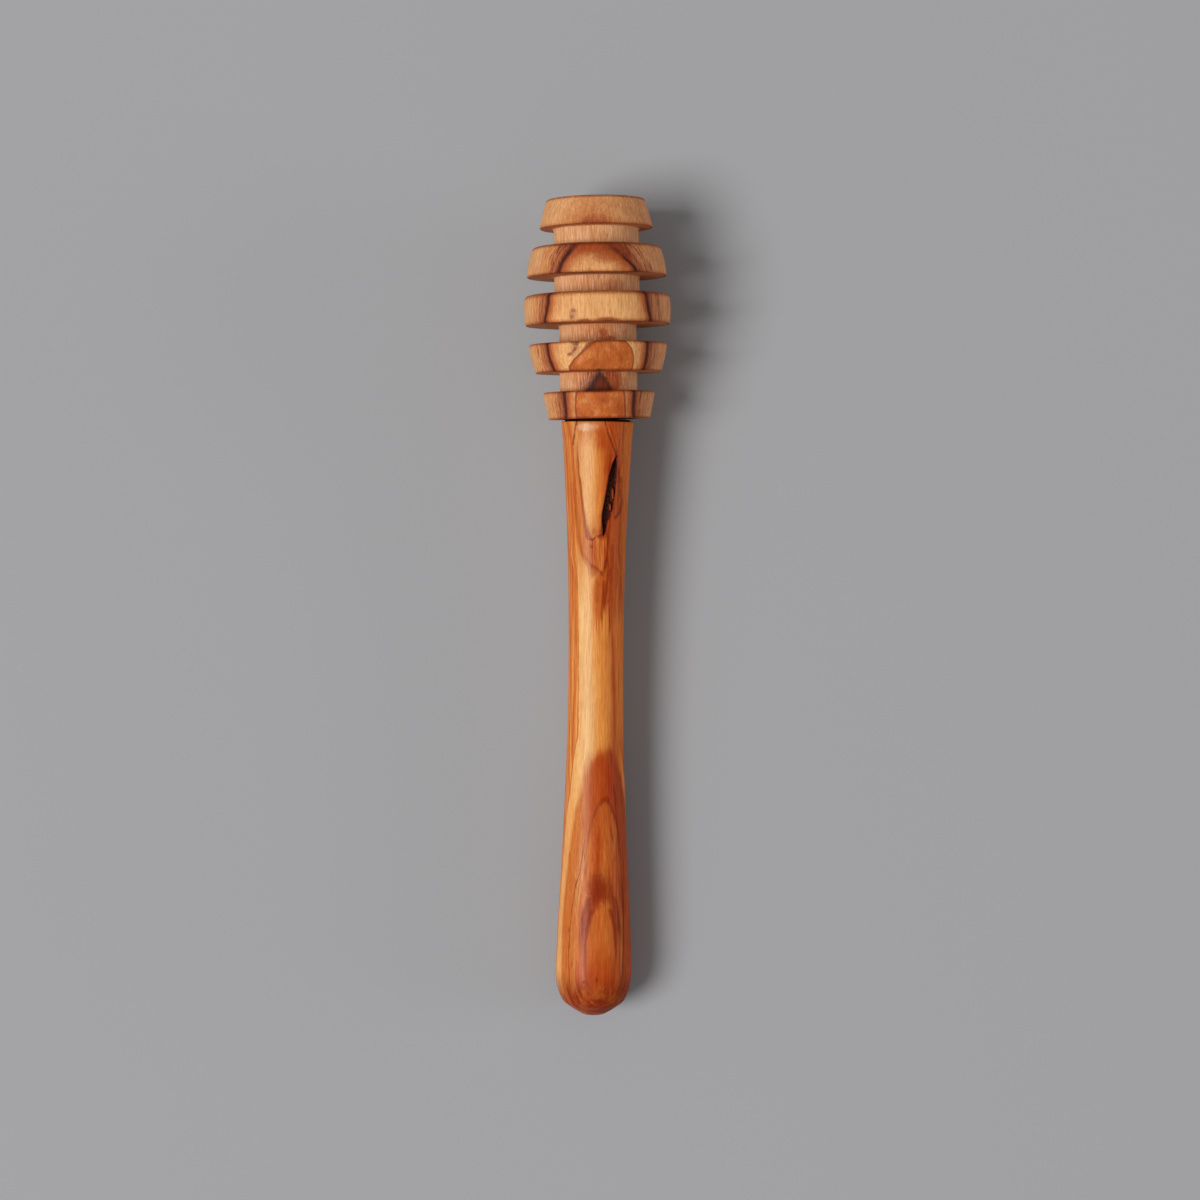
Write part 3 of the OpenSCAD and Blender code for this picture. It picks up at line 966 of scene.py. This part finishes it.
def glue_finish(matrix):
    """Cured wood glue, cloudy and a little uneven"""
    material, shader = new_material("cured_wood_glue")
    place, _normal = piece_place(shader, matrix)
    cloud = noise(place, 41, detail=3, scale=0.9)
    coat = Coat(srgb(226, 206, 160))
    coat.over(cloud, srgb(206, 176, 118))
    finish(shader, coat, cloud * 0.2 + 0.35, noise(place, 43, scale=3), 0.05)
    return material


# Turned shapes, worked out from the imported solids

# The tenon with its seat, and the mouth of the socket, lie within these radii
TENON_CLEAR = 6.7 * MM
SOCKET_CLEAR = 6 * MM
# Only the socket lies within this radius in the head
SOCKET_WITHIN = 4.3 * MM
# How far the dressed wood lies inside its solid, and where the painted shade of the joint starts
INSET = 0.02 * MM
SEAM_START = 0.06 * MM


def new_object(name, data):
    piece = bpy.data.objects.new(name, data)
    bpy.context.scene.collection.objects.link(piece)
    return piece


def turning_frame(mount_name):
    """Matrix from a turned piece's own frame at a mount: Y along its axis, X to the right and Z up"""
    mount = next(m for m in frame["record"]["mounts"] if m["name"] == mount_name)
    along = Vector(mount["axis"]).normalized()
    right = along.cross(Vector((0, 0, 1))).normalized()
    rotation = Matrix((right, along, right.cross(along))).transposed().to_4x4()
    return Matrix.Translation(Vector(mount["pos_m"])) @ rotation


def rings_of(node, to_row, nearest=0.0, farthest=math.inf):
    """The circles that a turned solid's outline runs through, as (along, radius) in metres"""
    SAME = 2e-5
    to_piece = to_row.inverted()
    rings = []
    for vertex in frame["nodes"][node].data.vertices:
        x, along, z = to_piece @ vertex.co
        ring = (along, math.hypot(x, z))
        if nearest <= ring[1] < farthest and all(math.dist(ring, other) > SAME for other in rings):
            rings.append(ring)
    return rings


def in_order(rings):
    """Rings in the order in which the outline passes them. Of those at one place, the nearest comes next."""
    SAME_PLACE = 2e-6
    left = sorted(rings)
    ordered = []
    while left:
        level = [ring for ring in left if ring[0] - left[0][0] < SAME_PLACE]
        last = ordered[-1][1] if ordered else max(radius for _along, radius in level)
        ordered.append(min(level, key=lambda ring: abs(ring[1] - last)))
        left.remove(ordered[-1])
    return ordered


def without_inline(rings):
    """Drops the rings that only divide a straight stretch"""
    STRAIGHT = 1.6e-6
    kept = rings[:1]
    for ring, following in zip(rings[1:], rings[2:]):
        chord = np.subtract(following, kept[-1])
        offset = np.subtract(ring, kept[-1])
        if abs(chord[0] * offset[1] - chord[1] * offset[0]) / np.hypot(*chord) > STRAIGHT:
            kept.append(ring)
    return kept + rings[-1:]


def divided(rings, step):
    """The outline with its long straight stretches divided"""
    points = [np.array(rings[0])]
    for ring in rings[1:]:
        start, end = points[-1], np.array(ring)
        count = max(1, round(np.hypot(*(end - start)) / step))
        points += [start + (end - start) * k / count for k in range(1, count + 1)]
    return np.array(points)


def smooth_curve(rings, places):
    """Radii of a smooth curve through the rings, at the given places along the axis"""
    along, radius = np.array(rings).T
    slope = np.gradient(radius, along)
    k = np.clip(np.searchsorted(along, places, side="right") - 1, 0, len(along) - 2)
    span = along[k + 1] - along[k]
    t = (places - along[k]) / span
    return (
        radius[k] * (1 + 2 * t) * (1 - t) ** 2
        + slope[k] * span * t * (1 - t) ** 2
        + radius[k + 1] * t**2 * (3 - 2 * t)
        + slope[k + 1] * span * t**2 * (t - 1)
    )


def curve_at(points, places):
    """Values of a curve of given (place, value) points"""
    return np.interp(places, *zip(*points))


def smooth_step(low, high, value):
    t = np.clip((value - low) / (high - low), 0, 1)
    return t * t * (3 - 2 * t)


def uneven_ring(seed, angles, waves):
    """An uneven value from 0 to 1 round a turned piece, the same on every run"""
    random = np.random.default_rng(seed)
    total = np.zeros_like(angles)
    for wave in range(1, waves + 1):
        total += random.normal() / wave**0.6 * np.sin(wave * angles + random.uniform(0, 2 * math.pi))
    return (total - total.min()) / (total.max() - total.min())


def mesh_of_rows(name, rows, matrix, attributes):
    """A closed mesh from rows of points in a piece's own frame. The first and last rows close to a point."""
    count = rows.shape[1]
    points = np.vstack([rows[0].mean(0), rows[1:-1].reshape(-1, 3), rows[-1].mean(0)])
    last = len(points) - 1
    last_row = last - count
    faces = []
    for k in range(count):
        after = (k + 1) % count
        faces.append((0, 1 + k, 1 + after))
        faces.append((last_row + k, last, last_row + after))
    for low in range(1, last_row, count):
        for k in range(count):
            after = (k + 1) % count
            faces.append((low + k, low + count + k, low + count + after, low + after))
    points = points @ np.array(matrix.to_3x3()).T + np.array(matrix.translation)
    mesh = bpy.data.meshes.new(name)
    mesh.from_pydata(points.tolist(), [], faces)
    for label, values in attributes.items():
        stored = mesh.attributes.new(label, "FLOAT", "POINT")
        flat = np.concatenate([values[0, :1], values[1:-1].ravel(), values[-1, :1]])
        stored.data.foreach_set("value", flat.astype(np.float32))
    mesh.shade_smooth()
    mesh.validate()
    return new_object(name, mesh)


def circle(radius, along, angles):
    """Points round the axis. Angle 0 is straight up, and a quarter turn on is to the right."""
    x = radius * np.sin(angles)
    return np.stack([x, np.broadcast_to(along, x.shape), radius * np.cos(angles)], -1)


def handle_frame():
    """The handle's own frame, with its origin in the middle of the shoulder"""
    at_grip = turning_frame("grip")
    shoulder = max(along for along, _radius in rings_of("handle", at_grip, nearest=TENON_CLEAR))
    return at_grip @ Matrix.Translation((0, shoulder, 0))


def head_frame():
    """The head's own frame, with its origin in the middle of the face towards the handle"""
    at_end = turning_frame("head_end_face")
    face = min(along for along, _radius in rings_of("dipper_head", at_end, nearest=SOCKET_CLEAR))
    return at_end @ Matrix.Translation((0, face, 0))


class HONEYDIPPER_OT_make_head(bpy.types.Operator):
    """Builds the ribbed head over its solid, with worn rims and the blind socket"""

    bl_idname = "honeydipper.make_head"
    bl_label = "Make Head"

    COLUMNS = 288
    STEP = 0.38 * MM
    FACE_ROWS = 10
    EDGE_REACH = 0.5 * MM
    EDGE_WIDTH = 0.1 * MM
    # Radii over which the joint's painted shade on the face fades out
    SEAM_REACH = (7.2 * MM, 8.3 * MM)
    # From where on the rims are worn, and how far apart the ribs are
    RIM_RISE = (8.6 * MM, 10.5 * MM)
    EDGE_FROM = 9.3 * MM
    RIB_PITCH = 8.9 * MM
    # How much of a step goes along the axis where the outline turns over an edge
    TURNING = (0.3, 0.8)
    WEAR_SEED = 60
    WEAR_WAVES = 3
    CHIP_SEED = 70
    CHIP_WAVES = 60
    # The wood is chipped where the uneven value is above this
    CHIP_LEVEL = 0.62

    def execute(self, context):
        settings = context.scene.honey_dipper.head
        frame_of_head = head_frame()
        angles = np.linspace(0, 2 * math.pi, self.COLUMNS, endpoint=False)
        outer = in_order(rings_of("dipper_head", frame_of_head, nearest=SOCKET_CLEAR))
        socket_rows = self.socket(frame_of_head, angles)
        face = circle(outer[0][1], 0.0, angles)
        shares = np.linspace(0, 1, self.FACE_ROWS + 2)[1:-1]
        face_rows = [socket_rows[-1] * (1 - t) + face * t for t in shares]
        outline = divided(outer + [(outer[-1][0], 0.0)], self.STEP)
        along, radius = (np.repeat(outline[:, k : k + 1], self.COLUMNS, 1) for k in (0, 1))
        edge = np.repeat(self.edges(outline)[:, None], self.COLUMNS, 1)
        shell = circle(self.worn(radius, along, edge, angles, settings), along, angles)
        rows = np.concatenate([socket_rows, face_rows, shell])
        unworn = len(rows) - len(shell)
        # Painted shade on the face round the handle, for the shade in the joint's gap
        seam = 1 - smooth_step(*self.SEAM_REACH, np.hypot(rows[..., 0], rows[..., 2]))
        seam[unworn + 1 :] = 0
        attributes = {"edge": np.concatenate([np.zeros((unworn, self.COLUMNS)), edge]), "seam": seam}
        piece = mesh_of_rows("olive_wood_head", rows, frame_of_head, attributes)
        piece.data.materials.append(head_wood(settings, frame_of_head))
        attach(piece, BODY)
        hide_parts("dipper_head")
        return {"FINISHED"}

    def socket(self, frame_of_head, angles):
        """Rows of the blind hole from its point to its mouth. It is true to the handle, not to the head."""
        WALL = 0.05 * MM
        frame_of_handle = handle_frame()
        near = rings_of("dipper_head", frame_of_handle, farthest=SOCKET_WITHIN)
        point, radius = np.max(near, axis=0)
        floor = max(a for a, r in near if r > radius - WALL)
        to_head = frame_of_head.inverted() @ frame_of_handle
        turn = np.array(to_head.to_3x3())
        start = np.array(to_head.translation)
        stations = [(point, 0.0), ((point + floor) / 2, radius / 2), (floor, radius)]
        stations += [(floor * t, radius) for t in (0.8, 0.6, 0.4, 0.2)]
        rows = [circle(r, a, angles) @ turn.T + start for a, r in stations]
        ring = circle(radius, 0.0, angles) @ turn.T + start
        mouth = ring - np.outer(ring[:, 1] / turn[1, 1], turn[:, 1])
        return np.array([*rows, mouth])

    def edges(self, outline):
        """1 on the outer edges of the ribs, fading to 0 within EDGE_REACH along the outline"""
        step = np.diff(outline, axis=0)
        lengths = np.hypot(*step.T)
        travelled = np.concatenate([[0], np.cumsum(lengths)])
        facing = np.abs(step[:, 0]) / np.maximum(lengths, 1e-9)
        least, most = self.TURNING
        turning = travelled[:-1][(facing > least) & (facing < most) & (outline[:-1, 1] > self.EDGE_FROM)]
        distance = np.min(np.abs(travelled[:, None] - turning), axis=1)
        return 1 - smooth_step(self.EDGE_WIDTH, self.EDGE_REACH, distance)

    def worn(self, radius, along, edge, angles, settings):
        """Takes a little wood off the rims: out of round, and chipped at the edges"""
        rib = np.floor(along / self.RIB_PITCH).astype(int)
        out_of_round = np.zeros_like(radius)
        chips = np.zeros_like(radius)
        for k in range(rib.min(), rib.max() + 1):
            wave = uneven_ring(self.WEAR_SEED + k, angles, self.WEAR_WAVES)
            chip = uneven_ring(self.CHIP_SEED + k, angles, self.CHIP_WAVES) - self.CHIP_LEVEL
            out_of_round = np.where(rib == k, wave, out_of_round)
            chips = np.where(rib == k, np.clip(chip, 0, 1) / (1 - self.CHIP_LEVEL), chips)
        rim = smooth_step(*self.RIM_RISE, radius)
        taken = rim * settings.rim_wear * out_of_round + edge * chips * settings.chip_depth
        return np.maximum(radius - INSET * (radius > INSET) - taken, 0)


class HONEYDIPPER_OT_make_handle(bpy.types.Operator):
    """Builds the handle over its solid, with its tenon and the long crack"""

    bl_idname = "honeydipper.make_handle"
    bl_label = "Make Handle"

    COLUMNS = 184
    CRACK_COLUMNS = 64
    CRACK_FROM = math.radians(3)
    CRACK_TO = math.radians(43)
    STEP = 0.45 * MM
    CRACK_STEP = 0.15 * MM
    TENON_STEP = 0.9 * MM
    BUTT_ROWS = 26
    BUTT_LENGTH = 8 * MM
    # The shell keeps the solid's size this near the shoulder, and rings above SHOULDER are the tenon's
    NECK = 0.1 * MM
    SHOULDER = -0.01 * MM
    # The torn sides of the crack, in millimetres, and the width at which it closes
    TEAR_SEED = 5
    TEAR_WAVES = 13
    TEAR = 0.03
    CLOSED = 0.03

    def execute(self, context):
        settings = context.scene.honey_dipper.handle
        frame_of_handle = handle_frame()
        close = np.linspace(self.CRACK_FROM, self.CRACK_TO, self.CRACK_COLUMNS, endpoint=False)
        wide = np.linspace(self.CRACK_TO, self.CRACK_FROM + 2 * math.pi, self.COLUMNS, endpoint=False)
        angles = np.concatenate([close, wide])
        rings = in_order(rings_of("handle", frame_of_handle))
        outside = without_inline([ring for ring in rings if ring[0] < self.SHOULDER])
        tenon = in_order([ring for ring in rings if ring[0] >= self.SHOULDER])
        places = self.places(outside[0][0], outside[-1][0])
        outer = np.stack([places, smooth_curve(outside, places)], 1)
        outer[0, 1] = 0
        outline = np.concatenate([outer, divided([*tenon, (tenon[-1][0], 0.0)], self.TENON_STEP)])
        along, radius = (np.repeat(outline[:, k : k + 1], len(angles), 1) for k in (0, 1))
        hollow = self.crack(radius, along, angles)
        inset = INSET * (radius > INSET) * (along < -self.NECK)
        shell = circle(radius - inset - hollow * settings.crack_depth, along, angles)
        # Painted shade at the joint, from the shoulder on
        attributes = {"hollow": hollow, "seam": (along > -SEAM_START) * 1.0}
        piece = mesh_of_rows("olive_wood_handle", shell, frame_of_handle, attributes)
        piece.data.materials.append(handle_wood(settings, frame_of_handle))
        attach(piece, BODY)
        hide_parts("handle")
        return {"FINISHED"}

    def places(self, butt, neck):
        """Where the rows go: close together at the crack and the butt"""
        crack_low, crack_high = -CRACK_HALF_WIDTH[-1][0] * MM, -CRACK_HALF_WIDTH[0][0] * MM
        bends = np.sin(np.linspace(0, math.pi / 2, self.BUTT_ROWS))
        round_end = butt + (1 - bends[::-1]) * self.BUTT_LENGTH
        waist = np.arange(round_end[-1] + self.STEP, crack_low, self.STEP)
        cracked = np.arange(crack_low, crack_high, self.CRACK_STEP)
        top = np.arange(crack_high, neck - self.NECK, self.STEP)
        return np.concatenate([round_end, waist, cracked, top, [neck]])

    def crack(self, radius, along, angles):
        """How far each point lies in the crack, from 0 to 1"""
        down = -along / MM
        across = radius * np.sin(angles) / MM
        random = np.random.default_rng(self.TEAR_SEED)
        tear = sum(
            random.normal() / wave**0.7 * np.sin(wave * down * 0.9 + random.uniform(0, 6.3))
            for wave in range(1, self.TEAR_WAVES + 1)
        )
        half = curve_at(CRACK_HALF_WIDTH, down)
        beside = np.abs(across - curve_at(CRACK_MIDDLE, down) - self.TEAR * tear)
        is_open = (half > self.CLOSED) & (np.cos(angles) > 0)
        inside = smooth_step(1.1, 0.75, beside / np.maximum(half, self.CLOSED)) * is_open
        for place, at, half_width, half_length in SPLINTERS:
            reach = np.hypot((across - place) / half_width, (down - at) / half_length)
            inside *= smooth_step(0.7, 1.3, reach)
        return inside


class HONEYDIPPER_OT_finish_glue(bpy.types.Operator):
    """Gives the glue film in the joint its finish"""

    bl_idname = "honeydipper.finish_glue"
    bl_label = "Finish Glue"

    def execute(self, context):
        film = frame["nodes"]["glue_film"]
        film.data.materials.clear()
        film.data.materials.append(glue_finish(handle_frame()))
        return {"FINISHED"}


class HONEYDIPPER_OT_make_stage(bpy.types.Operator):
    """Makes the floor, the softbox, the fill light and the camera"""

    bl_idname = "honeydipper.make_stage"
    bl_label = "Make Stage"

    CAMERA_PLACE = (0.907 * MM, 1.793 * MM)
    CAMERA_TURN = math.radians(0.4058)
    SENSOR = 36
    CARD_HEIGHT = math.radians(12)
    CARD_DISTANCE = 2.5
    CARD_WIDTH = 1.2
    FLOOR_HALF = 8.0

    def execute(self, context):
        scene = context.scene
        settings = scene.honey_dipper.stage
        self.floor(settings)
        self.lights(settings)
        scene.world = self.fill(settings)
        scene.camera = self.camera(settings)
        scene.view_settings.view_transform = "Standard"
        return {"FINISHED"}

    def floor(self, settings):
        half = self.FLOOR_HALF
        corners = [(-half, -half, 0), (half, -half, 0), (half, half, 0), (-half, half, 0)]
        mesh = bpy.data.meshes.new("floor")
        mesh.from_pydata(corners, [], [(0, 1, 2, 3)])
        floor = new_object("floor", mesh)
        material, shader = new_material("plain_floor")
        plug(shader.inputs["Base Color"], settings.floor)
        shader.inputs["Roughness"].default_value = 0.9
        shader.inputs["Specular IOR Level"].default_value = 0.1
        mesh.materials.append(material)
        floor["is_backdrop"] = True

    def lights(self, settings):
        """A white card, and a round softbox whose light and the fill together show white as white"""
        height, side = settings.softbox_height, settings.softbox_side
        level_part = -math.cos(height)
        towards = Vector((level_part * math.cos(side), level_part * math.sin(side), math.sin(height)))
        level = (1 - settings.fill) / math.sin(height)
        self.lamp("softbox", towards, settings.softbox_distance, settings.softbox_width, level)
        across = Vector((math.cos(self.CARD_HEIGHT), 0, math.sin(self.CARD_HEIGHT)))
        self.lamp("white_card", across, self.CARD_DISTANCE, self.CARD_WIDTH, settings.card_level)

    def lamp(self, name, towards, distance, width, level):
        lamp = bpy.data.lights.new(name, "AREA")
        lamp.shape = "DISK"
        lamp.size = width
        lamp.energy = level * math.pi**2 * distance**2
        piece = new_object(name, lamp)
        piece.location = towards * distance
        piece.rotation_euler = towards.to_track_quat("Z", "Y").to_euler()

    def fill(self, settings):
        world = bpy.data.worlds.new("studio")
        world.use_nodes = True
        background = world.node_tree.nodes["Background"]
        background.inputs["Color"].default_value = (settings.fill, settings.fill, settings.fill, 1)
        background.inputs["Strength"].default_value = 1
        return world

    def camera(self, settings):
        data = bpy.data.cameras.new("camera")
        data.lens = settings.lens
        data.sensor_width = self.SENSOR
        data.clip_start = 0.01
        camera = new_object("camera", data)
        camera.location = (*self.CAMERA_PLACE, settings.camera_height)
        camera.rotation_euler = (0, 0, self.CAMERA_TURN)
        return camera


class HONEYDIPPER_PT_panel(bpy.types.Panel):
    """Buttons and settings of the honey dipper"""

    bl_label = "Honey Dipper"
    bl_space_type = "VIEW_3D"
    bl_region_type = "UI"
    bl_category = "Honey Dipper"

    def draw(self, context):
        settings = context.scene.honey_dipper
        for operator, group in (
            (HONEYDIPPER_OT_make_head, settings.head),
            (HONEYDIPPER_OT_make_handle, settings.handle),
            (HONEYDIPPER_OT_finish_glue, None),
            (HONEYDIPPER_OT_make_stage, settings.stage),
        ):
            box = self.layout.box()
            box.operator(operator.bl_idname)
            for name in group.__annotations__ if group else ():
                box.prop(group, name)


CLASSES = (
    HeadSettings,
    HandleSettings,
    StageSettings,
    DipperSettings,
    HONEYDIPPER_OT_make_head,
    HONEYDIPPER_OT_make_handle,
    HONEYDIPPER_OT_finish_glue,
    HONEYDIPPER_OT_make_stage,
    HONEYDIPPER_PT_panel,
)


def register():
    for cls in CLASSES:
        bpy.utils.register_class(cls)
    bpy.types.Scene.honey_dipper = bpy.props.PointerProperty(type=DipperSettings)


def unregister():
    del bpy.types.Scene.honey_dipper
    for cls in reversed(CLASSES):
        bpy.utils.unregister_class(cls)


def main():
    """Builds everything in order, and works out the solid's box and the dressed part's box"""
    solid_box = [list(corner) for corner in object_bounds()]
    register()
    bpy.ops.honeydipper.make_stage()
    bpy.ops.honeydipper.make_head()
    bpy.ops.honeydipper.make_handle()
    bpy.ops.honeydipper.finish_glue()
    dressed_box = [list(corner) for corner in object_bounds()]


if __name__ == "__main__":
    main()
